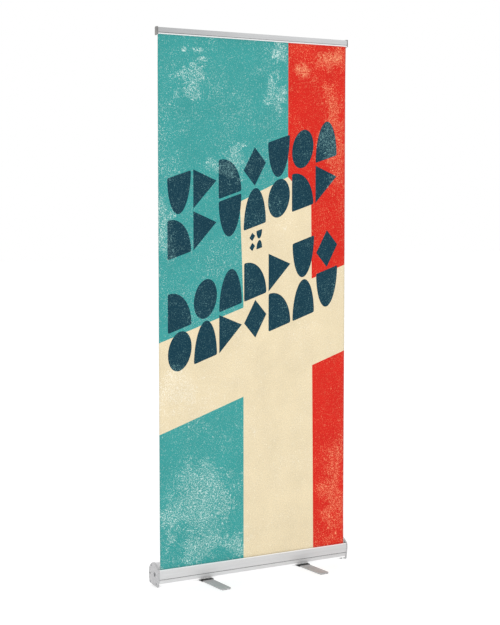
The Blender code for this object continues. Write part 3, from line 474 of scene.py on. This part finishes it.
def makeShapeGroup():
    # one printed shape in a leaning frame; Power 1 is a diamond, 2 a disc and high values a block.
    # Wedge 1 cuts the shape down to a triangle that points along the row
    tree, take, give = newGroup(
        "printedShape",
        [("X", "Float", 0.0), ("Z", "Float", 0.0), ("Across", "Float", 0.0), ("Up", "Float", 0.0),
         ("Half Width", "Float", 0.1), ("Half Height", "Float", 0.1), ("Slope", "Float", 0.0),
         ("Power", "Float", 2.0), ("Wedge", "Float", 0.0)],
        [("Level", "Float")],
    )
    offset = calc(tree, "SUBTRACT", take["X"], take["Across"])
    rise = calc(tree, "MULTIPLY_ADD", offset, calc(tree, "MULTIPLY", take["Slope"], -1.0), take["Z"])
    across = calc(tree, "DIVIDE", offset, take["Half Width"])
    up = calc(tree, "DIVIDE", calc(tree, "SUBTRACT", rise, take["Up"]), take["Half Height"])
    flat = calc(tree, "ABSOLUTE", across)
    high = calc(tree, "ABSOLUTE", up)
    powers = [calc(tree, "POWER", side, take["Power"]) for side in (flat, high)]
    rounded = calc(tree, "ADD", *powers)
    half = calc(tree, "MULTIPLY_ADD", across, 0.5, 0.5)
    pointed = calc(tree, "MAXIMUM", calc(tree, "ADD", high, half), flat)
    level = addNode(tree, "ShaderNodeMix", data_type="FLOAT")
    for index, value in ((0, take["Wedge"]), (2, rounded), (3, pointed)):
        plug(tree, level.inputs[index], value)
    plug(tree, give["Level"], level.outputs[0])
    return tree


printedShape = makeShapeGroup()


def below(tree, value, limit):
    return calc(tree, "LESS_THAN", value, limit)


def allOf(tree, masks):
    found = masks[0]
    for mask in masks[1:]:
        found = calc(tree, "MULTIPLY", found, mask)
    return found


def leastOf(tree, levels):
    found = levels[0]
    for level in levels[1:]:
        found = calc(tree, "MINIMUM", found, level)
    return found


def creamMask(tree, x, z):
    b = blocks
    above = calc(tree, "MAXIMUM", calc(tree, "SUBTRACT", z, b["leanFrom"]), 0.0)
    lean = calc(tree, "MULTIPLY", above, b["bandLean"])
    left = calc(tree, "GREATER_THAN", calc(tree, "ADD", x, lean), b["bandLeft"])
    right = below(tree, calc(tree, "MULTIPLY_ADD", z, b["rightLean"], x), b["bandRight"])
    roofs = [
        below(tree, calc(tree, "MULTIPLY_ADD", x, -b[slope], z), b["peak"] - b[slope] * b["split"])
        for slope in ("leftRoof", "rightRoof")
    ]
    band = allOf(tree, [left, right, *roofs])
    height = calc(tree, "MULTIPLY_ADD", x, -b["armSlope"], z)
    arm = allOf(tree, [
        calc(tree, "GREATER_THAN", height, b["armLow"]), below(tree, height, b["armHigh"])])
    return calc(tree, "MAXIMUM", band, arm)


def tileLevel(tree, x, z, slope, across, up, halfWidth, halfHeight, kind):
    # below 1 inside the shape and inside its tile
    left, low, wide, tall, power = tileKinds[kind]
    middle = across + left * halfWidth
    shape = useGroup(
        tree, printedShape, X=x, Z=z, Slope=slope, Power=power, Wedge=float(kind == "wedge"),
        Across=middle, Up=up + low * halfHeight + slope * left * halfWidth,
        **{"Half Width": halfWidth * wide, "Half Height": halfHeight * tall},
    )["Level"]
    if kind in ("disc", "diamond", "wedge"):
        return shape
    tile = useGroup(
        tree, printedShape, X=x, Z=z, Across=across, Up=up, Slope=slope, Power=24.0,
        **{"Half Width": halfWidth, "Half Height": halfHeight},
    )["Level"]
    return calc(tree, "MAXIMUM", shape, tile)


def tileMask(tree, x, z):
    levels = []
    for row in tileRows:
        pitch = (row["to"] - row["from"]) / len(row["columns"])
        halfWidth = (pitch - row["gap"]) / 2
        halfHeight = (row["tall"] / 2 - row["gap"]) / 2
        for number, kinds in enumerate(row["columns"]):
            across = row["from"] + pitch * (number + 0.5)
            for step, kind in enumerate(reversed(kinds)):
                up = row["low"] + row["slope"] * across + row["tall"] * (step / 2 + 0.25)
                levels.append(
                    tileLevel(tree, x, z, row["slope"], across, up, halfWidth, halfHeight, kind))
    return below(tree, leastOf(tree, levels), 1.0)


def patches(tree, x, z, spots):
    # soft ovals, the most where one is centred
    levels = [
        useGroup(tree, printedShape, X=x, Z=z, Across=across, Up=up, Power=2.0,
                 **{"Half Width": wide, "Half Height": tall})["Level"]
        for across, up, wide, tall in spots
    ]
    return remap(tree, leastOf(tree, levels), 1.0, 0.1)


# worn and scraped places: centre across and up, half width and half height
wornSpots = [
    (-0.29, 1.89, 0.07, 0.08), (0.095, 1.88, 0.045, 0.13), (-0.41, 1.39, 0.07, 0.14),
    (-0.22, 0.15, 0.15, 0.09), (-0.355, 0.24, 0.10, 0.07), (-0.08, 0.11, 0.07, 0.07),
    (-0.24, 0.33, 0.16, 0.20), (0.38, 0.30, 0.08, 0.32), (0.37, 1.75, 0.08, 0.28),
    (0.36, 2.03, 0.12, 0.05), (0.215, 1.99, 0.05, 0.06), (-0.12, 1.62, 0.12, 0.07),
    (-0.355, 0.74, 0.14, 0.10), (0.10, 2.03, 0.05, 0.05),
]
scrapedSpots = [
    (-0.314, 2.042, 0.016, 0.012), (-0.255, 2.044, 0.030, 0.012), (-0.232, 2.010, 0.030, 0.012),
    (-0.2755, 1.985, 0.020, 0.014), (0.215, 1.990, 0.040, 0.040), (0.350, 2.045, 0.090, 0.030),
    (0.095, 2.045, 0.022, 0.026),
]


def awayFromHalf(tree, value):
    return calc(tree, "ABSOLUTE", calc(tree, "SUBTRACT", value, 0.5))


def distress(tree, flat, x, z):
    # rubbed print: fine specks everywhere, thick in the worn patches, thin threads and a few scraped marks
    strayed = []
    for place, scale, reach in ((x, 9.0, 0.34), (z, 7.0, 0.42)):
        centred = calc(tree, "ADD", place, -reach / 2)
        strayed.append(calc(tree, "MULTIPLY_ADD", noise(tree, flat, scale, 4.0, 0.65), reach, centred))
    cloud = remap(tree, noise(tree, flat, 6.0, 5.0, 0.62), 0.40, 0.70)
    patch = calc(tree, "MULTIPLY", patches(tree, *strayed, wornSpots), 0.95)
    worn = calc(tree, "MAXIMUM", calc(tree, "MULTIPLY", cloud, 0.50), patch)
    fine = noise(tree, flat, 290.0, 2.0, 0.75)
    coarse = noise(tree, flat, 120.0, 3.0, 0.85)
    limit = calc(tree, "MULTIPLY_ADD", worn, -0.085, 0.630)
    specks = [remap(tree, calc(tree, "SUBTRACT", grain, limit), 0.0, 0.05) for grain in (fine, coarse)]
    curly = awayFromHalf(tree, noise(tree, flat, 44.0, 2.0, 0.5, 0.8))
    gate = remap(tree, noise(tree, flat, 75.0, 1.0), 0.50, 0.60)
    threads = allOf(tree, [remap(tree, curly, 0.016, 0.005), gate, remap(tree, worn, 0.05, 0.6, 0.25, 1.0)])
    torn = awayFromHalf(tree, noise(tree, flat, 70.0, 3.0, 0.6, 1.2))
    scraped = allOf(tree, [remap(tree, torn, 0.045, 0.020), patches(tree, x, z, scrapedSpots)])
    found = calc(tree, "MAXIMUM", specks[0], calc(tree, "MULTIPLY", specks[1], 0.8))
    return calc(tree, "MAXIMUM", calc(tree, "MAXIMUM", found, threads), scraped)


def makeBannerPrint():
    made, tree, shader, place = newMaterial("bannerPrint", Specular_IOR_Level=0.12)
    flat = stretched(tree, place, (1.0, 0.0, 1.0))
    split = addNode(tree, "ShaderNodeSeparateXYZ", {0: flat})
    shake = calc(tree, "MULTIPLY_ADD", noise(tree, flat, 420.0, 2.0), 0.0016, -0.0008)
    x = calc(tree, "ADD", split.outputs["X"], shake)
    z = calc(tree, "ADD", split.outputs["Z"], shake)
    cream = creamMask(tree, x, z)
    red = calc(tree, "GREATER_THAN", x, blocks["split"])
    navy = tileMask(tree, x, z)
    layers = []
    for state in (0, 1):
        colour = mixColour(tree, red, inks["teal"][state], inks["red"][state])
        colour = mixColour(tree, cream, colour, inks["cream"][state])
        layers.append(mixColour(tree, navy, colour, inks["navy"][state]))
    rubbed = distress(tree, flat, x, z)
    colour = mixColour(tree, rubbed, *layers)
    cloudy = remap(tree, noise(tree, flat, 9.0, 5.0, 0.6), 0.3, 0.7, 0.94, 1.04, "LINEAR")
    grainy = remap(tree, noise(tree, flat, 240.0, 2.0, 0.8), 0.3, 0.7, 0.86, 1.14, "LINEAR")
    tint = calc(tree, "MULTIPLY", cloudy, grainy)
    grey = addNode(tree, "ShaderNodeCombineColor", {0: tint, 1: tint, 2: tint}).outputs[0]
    colour = mixColour(tree, 1.0, colour, grey, "MULTIPLY")
    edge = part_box("banner_graphic")[1].x - bannerSizes["margin"]
    unprinted = calc(tree, "GREATER_THAN", calc(tree, "ABSOLUTE", split.outputs["X"]), edge)
    colour = mixColour(tree, unprinted, colour, linear(238, 238, 236))
    plug(tree, shader.inputs["Base Color"], colour)
    weave = noise(tree, flat, 1600.0, 1.0)
    plug(tree, shader.inputs["Roughness"], remap(tree, noise(tree, flat, 30.0, 3.0), 0.3, 0.7, 0.46, 0.58))
    bump(tree, shader, calc(tree, "MULTIPLY_ADD", rubbed, 0.4, weave), 0.00005, 0.5)
    return made


def makeBannerBack():
    # pale blockout side of the film
    made, tree, shader, place = newMaterial("bannerBack", Specular_IOR_Level=0.3)
    flat = stretched(tree, place, (1.0, 0.0, 1.0))
    cloudy = noise(tree, flat, 5.0, 5.0, 0.6)
    weave = allOf(tree, [bandWave(tree, flat, 420.0, bands_direction=way) for way in ("X", "Z")])
    colour = mixColour(tree, cloudy, linear(222, 223, 224), linear(236, 236, 236))
    colour = mixColour(tree, calc(tree, "MULTIPLY", weave, 0.12), colour, linear(196, 197, 200))
    plug(tree, shader.inputs["Base Color"], colour)
    plug(tree, shader.inputs["Roughness"], remap(tree, cloudy, 0.3, 0.7, 0.55, 0.68))
    bump(tree, shader, weave, 0.00006, 0.5)
    return made


def makeBannerEdge():
    made, tree, shader, place = newMaterial("bannerEdge", roughness=0.6)
    colour = mixColour(tree, noise(tree, place, 300.0), linear(226, 226, 224), linear(244, 244, 242))
    plug(tree, shader.inputs["Base Color"], colour)
    return made


def makeBanner():
    # one sheet under tension: flat in the slot and in the rail, faintly rippled, its edges curled back
    sizes = bannerSizes
    low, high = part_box("banner_graphic")
    middle = (low.y + high.y) / 2
    slotTop, railLow = sizes["slotTop"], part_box("rail_back")[0].z - sizes["railClear"]
    mesh = bpy.data.meshes.new("bannerSheet")
    shape = bmesh.new()
    rows = []
    for row in range(sizes["rows"] + 1):
        z = low.z + (high.z - low.z) * row / sizes["rows"]
        free = min(max((z - slotTop) / (railLow - slotTop), 0.0), 1.0)
        hold = min(1.0, 5 * math.sin(math.pi * free))
        line = []
        for column in range(sizes["columns"] + 1):
            x = low.x + (high.x - low.x) * column / sizes["columns"]
            wave = math.sin(9.0 * x + 0.8) * math.sin(2.1 * z) + 0.5 * math.sin(21.0 * x - 1.7 * z)
            outer = max(0.0, 1 - (high.x - abs(x)) / sizes["curlWidth"])
            y = middle + hold * (sizes["ripple"] * wave + sizes["curl"] * outer * outer)
            line.append(shape.verts.new((x, y, z)))
        rows.append(line)
    for under, over in zip(rows, rows[1:]):
        for column in range(sizes["columns"]):
            shape.faces.new((under[column], under[column + 1], over[column + 1], over[column]))
    for face in shape.faces:
        face.smooth = True
    shape.to_mesh(mesh)
    shape.free()
    sheet = bpy.data.objects.new("bannerSheet", mesh)
    bpy.context.scene.collection.objects.link(sheet)
    for finish in (makeBannerPrint(), makeBannerBack(), makeBannerEdge()):
        mesh.materials.append(finish)
    solid = sheet.modifiers.new("film", "SOLIDIFY")
    solid.thickness = sizes["thick"]
    solid.offset = 0.0
    solid.material_offset = 1
    solid.material_offset_rim = 2
    return sheet


banner = makeBanner()
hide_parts("banner_graphic")
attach(banner, "cassette")
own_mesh(banner)
print("banner printed")


# the six cross-head screws that hold the end caps, set out by geometry nodes

screwSizes = {
    "Head Radius": 0.0036, "Head Height": 0.0018, "Face Radius": 0.0027,
    "Shank Radius": 0.0015, "Length": 0.018,
    "Recess Length": 0.0038, "Recess Width": 0.0008, "Recess Depth": 0.0010,
}
screwSides = 40
screwSeed = 4


def vector(tree, **parts):
    return addNode(tree, "ShaderNodeCombineXYZ", parts).outputs[0]


def shifted(tree, geometry, height):
    return addNode(tree, "GeometryNodeTransform", {
        "Geometry": geometry, "Translation": vector(tree, Z=height)}).outputs[0]


def makeScrewTree():
    tree = bpy.data.node_groups.new("capScrewTree", "GeometryNodeTree")
    tree.interface.new_socket("Geometry", in_out="INPUT", socket_type="NodeSocketGeometry")
    for label in screwSizes:
        tree.interface.new_socket(label, in_out="INPUT", socket_type="NodeSocketFloat")
    tree.interface.new_socket("Finish", in_out="INPUT", socket_type="NodeSocketMaterial")
    tree.interface.new_socket("Geometry", in_out="OUTPUT", socket_type="NodeSocketGeometry")
    take = tree.nodes.new("NodeGroupInput").outputs
    # the head is one closed cylinder whose outer ring is drawn in, so its upper half slopes
    head = addNode(tree, "GeometryNodeMeshCylinder", {
        "Vertices": screwSides, "Side Segments": 2,
        "Radius": take["Head Radius"], "Depth": take["Head Height"]})
    shrink = calc(tree, "DIVIDE", take["Face Radius"], take["Head Radius"])
    spot = addNode(tree, "GeometryNodeInputPosition").outputs[0]
    narrowed = addNode(tree, "ShaderNodeVectorMath", {
        0: spot, 1: vector(tree, X=shrink, Y=shrink, Z=1.0)}, operation="MULTIPLY").outputs["Vector"]
    head = addNode(tree, "GeometryNodeSetPosition", {
        "Geometry": head.outputs["Mesh"], "Selection": head.outputs["Top"],
        "Position": narrowed}).outputs[0]
    head = shifted(tree, head, calc(tree, "MULTIPLY", take["Head Height"], -0.5))
    shank = addNode(tree, "GeometryNodeMeshCylinder", {
        "Vertices": screwSides // 2, "Radius": take["Shank Radius"],
        "Depth": take["Length"]}).outputs["Mesh"]
    inside = calc(tree, "MULTIPLY", take["Head Height"], -0.25)  # the shank starts inside the head
    shank = shifted(tree, shank, calc(tree, "MULTIPLY_ADD", take["Length"], -0.5, inside))
    joined = addNode(tree, "GeometryNodeMeshBoolean", operation="UNION", solver="EXACT")
    for part in (head, shank):
        tree.links.new(part, joined.inputs["Mesh 2"])
    cut = addNode(tree, "GeometryNodeMeshBoolean", {"Mesh 1": joined.outputs[0]},
                  operation="DIFFERENCE", solver="EXACT")
    tall = calc(tree, "MULTIPLY", take["Recess Depth"], 2.0)
    long, narrow = take["Recess Length"], take["Recess Width"]
    for wide, deep in ((long, narrow), (narrow, long)):
        bar = addNode(tree, "GeometryNodeMeshCube", {"Size": vector(tree, X=wide, Y=deep, Z=tall)})
        tree.links.new(bar.outputs["Mesh"], cut.inputs["Mesh 2"])
    outward = addNode(tree, "GeometryNodeInputNamedAttribute", {"Name": "outward"},
                      data_type="FLOAT_VECTOR")
    facing = addNode(tree, "FunctionNodeAlignRotationToVector",
                     {"Vector": outward.outputs["Attribute"]}, axis="Z")
    spin = addNode(tree, "FunctionNodeRandomValue", {"Seed": screwSeed}, data_type="FLOAT").outputs[1]
    turned = addNode(tree, "FunctionNodeAxisAngleToRotation",
                     {"Axis": (0.0, 0.0, 1.0), "Angle": calc(tree, "MULTIPLY", spin, math.pi)})
    tightened = addNode(tree, "FunctionNodeRotateRotation", {
        "Rotation": facing.outputs[0], "Rotate By": turned.outputs[0]}, rotation_space="LOCAL")
    placed = addNode(tree, "GeometryNodeInstanceOnPoints", {
        "Points": take["Geometry"], "Instance": cut.outputs[0], "Rotation": tightened.outputs[0]})
    real = addNode(tree, "GeometryNodeRealizeInstances", {"Geometry": placed.outputs[0]})
    painted = addNode(tree, "GeometryNodeSetMaterial", {
        "Geometry": real.outputs[0], "Material": take["Finish"]})
    tree.links.new(painted.outputs[0], tree.nodes.new("NodeGroupOutput").inputs["Geometry"])
    return tree


def makeCapScrews(names):
    points, outward = [], []
    for name in names:
        low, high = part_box(name)
        side = 1.0 if low.x > 0 else -1.0
        points.append((high.x if side > 0 else low.x, (low.y + high.y) / 2, (low.z + high.z) / 2))
        outward.append((side, 0.0, 0.0))
    cloud = bpy.data.meshes.new("capScrewPoints")
    cloud.from_pydata(points, [], [])
    facing = cloud.attributes.new("outward", "FLOAT_VECTOR", "POINT")
    for item, direction in zip(facing.data, outward):
        item.vector = direction
    holder = bpy.data.objects.new("capScrewPoints", cloud)
    bpy.context.scene.collection.objects.link(holder)
    layout = holder.modifiers.new("layout", "NODES")
    layout.node_group = makeScrewTree()
    sockets = {item.name: item.identifier for item in layout.node_group.interface.items_tree
               if item.in_out == "INPUT"}
    for label, value in screwSizes.items():
        layout[sockets[label]] = value
    layout[sockets["Finish"]] = metals["zincSteel"]
    depsgraph = bpy.context.evaluated_depsgraph_get()
    mesh = bpy.data.meshes.new_from_object(holder.evaluated_get(depsgraph))
    holder.modifiers.remove(layout)
    bpy.data.objects.remove(holder)
    screws = bpy.data.objects.new("capScrews", mesh)
    bpy.context.scene.collection.objects.link(screws)
    return screws


screwNames = [f"{side}_cap_screw_{spot}" for side in ("left", "right") for spot in ("top", "front", "rear")]
capScrews = makeCapScrews(screwNames)
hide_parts(*screwNames)
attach(capScrews, "cassette")
print("cap screws driven:", len(capScrews.data.polygons), "faces")


# finishes of the frame's own nodes

finishes = {
    "satinAluminium": ["cassette_housing"],
    "railAluminium": ["rail_back", "rail_front_jaw"],
    "poleAluminium": ["pole_lower", "pole_middle", "pole_upper"],
    "footSteel": ["left_foot_bar", "right_foot_bar"],
    "castCap": ["left_end_cap", "right_end_cap"],
    "zincSteel": ["idler_pin", "tension_spindle", "torsion_spring", "lower_ferrule", "upper_ferrule",
                  "roller_tube"],
    "capPlastic": ["left_rail_cap", "right_rail_cap"],
    "blackPlastic": ["drive_plug", "idler_plug", "pole_cap", "pole_foot_plug", "pole_socket", "rail_clip",
                     "left_foot_hub", "right_foot_hub"],
    "rubber": [],
}
for side in ("left", "right"):
    finishes["zincSteel"] += [f"{side}_pivot_{part}" for part in ("screw", "washer", "nut")]
    finishes["rubber"] += [f"{side}_{end}_{part}" for end in ("front", "rear") for part in ("pad", "stud")]


def dress(name, material):
    slots = cadNodes[name].data.materials
    slots.clear()
    slots.append(material)


hardMaterials = {**metals, **plastics}
for finish, names in finishes.items():
    for name in names:
        dress(name, hardMaterials[finish])
dress("shock_cord", cordBraid)
dress("leader_wrap", leaderFilm)
print("frame dressed")


# floor, light and camera

studio = {
    "sky": 1.0, "floorSize": 30.0, "floorGlow": 0.55,
    "floorDark": linear(196, 196, 196), "floorLight": linear(199, 199, 199),
    "aim": (0.0, 0.0, 1.0),  # where both lights point
    "lights": {
        "keyLight": {"place": (-3.0, -4.5, 3.6), "size": (2.5, 2.5), "power": 18.0},
        "backLight": {"place": (1.0, 4.0, 3.2), "size": (3.0, 2.0), "power": 12.0},
    },
}
cameraLook = {"place": (-2.8764, -4.788, 1.4531), "down": 4.27, "turn": -30.93, "lens": 81.9, "reach": 100.0}
white = (1.0, 1.0, 1.0, 1.0)


def makeFloor():
    mesh = bpy.data.meshes.new("studioFloor")
    shape = bmesh.new()
    bmesh.ops.create_grid(shape, x_segments=1, y_segments=1, size=studio["floorSize"])
    shape.to_mesh(mesh)
    shape.free()
    floor = bpy.data.objects.new("studioFloor", mesh)
    bpy.context.scene.collection.objects.link(floor)
    made, tree, shader, place = newMaterial("floorPaint", roughness=0.8, Specular_IOR_Level=0.0)
    paint = mixColour(tree, noise(tree, place, 0.8, 3.0), studio["floorDark"], studio["floorLight"])
    plug(tree, shader.inputs["Base Color"], paint)
    shader.inputs["Emission Color"].default_value = white
    shader.inputs["Emission Strength"].default_value = studio["floorGlow"]
    mesh.materials.append(made)


def areaLight(name, look):
    lamp = bpy.data.lights.new(name, "AREA")
    lamp.shape = "RECTANGLE"
    lamp.size, lamp.size_y = look["size"]
    lamp.energy = look["power"]
    holder = bpy.data.objects.new(name, lamp)
    bpy.context.scene.collection.objects.link(holder)
    holder.location = look["place"]
    aim = Vector(studio["aim"]) - Vector(look["place"])
    holder.rotation_euler = aim.to_track_quat("-Z", "Y").to_euler()


def makeStudio():
    makeFloor()
    world = bpy.data.worlds.new("studio")
    bpy.context.scene.world = world
    world.use_nodes = True
    background = world.node_tree.nodes["Background"]
    background.inputs["Color"].default_value = white
    background.inputs["Strength"].default_value = studio["sky"]
    for name, look in studio["lights"].items():
        areaLight(name, look)
    bpy.context.scene.view_settings.view_transform = "Standard"


def makeCamera():
    lens = bpy.data.cameras.new("camera")
    lens.lens = cameraLook["lens"]
    lens.clip_end = cameraLook["reach"]
    camera = bpy.data.objects.new("camera", lens)
    bpy.context.scene.collection.objects.link(camera)
    camera.location = cameraLook["place"]
    camera.rotation_euler = (math.radians(90 - cameraLook["down"]), 0.0, math.radians(cameraLook["turn"]))
    bpy.context.scene.camera = camera


makeStudio()
makeCamera()
print("studio set")
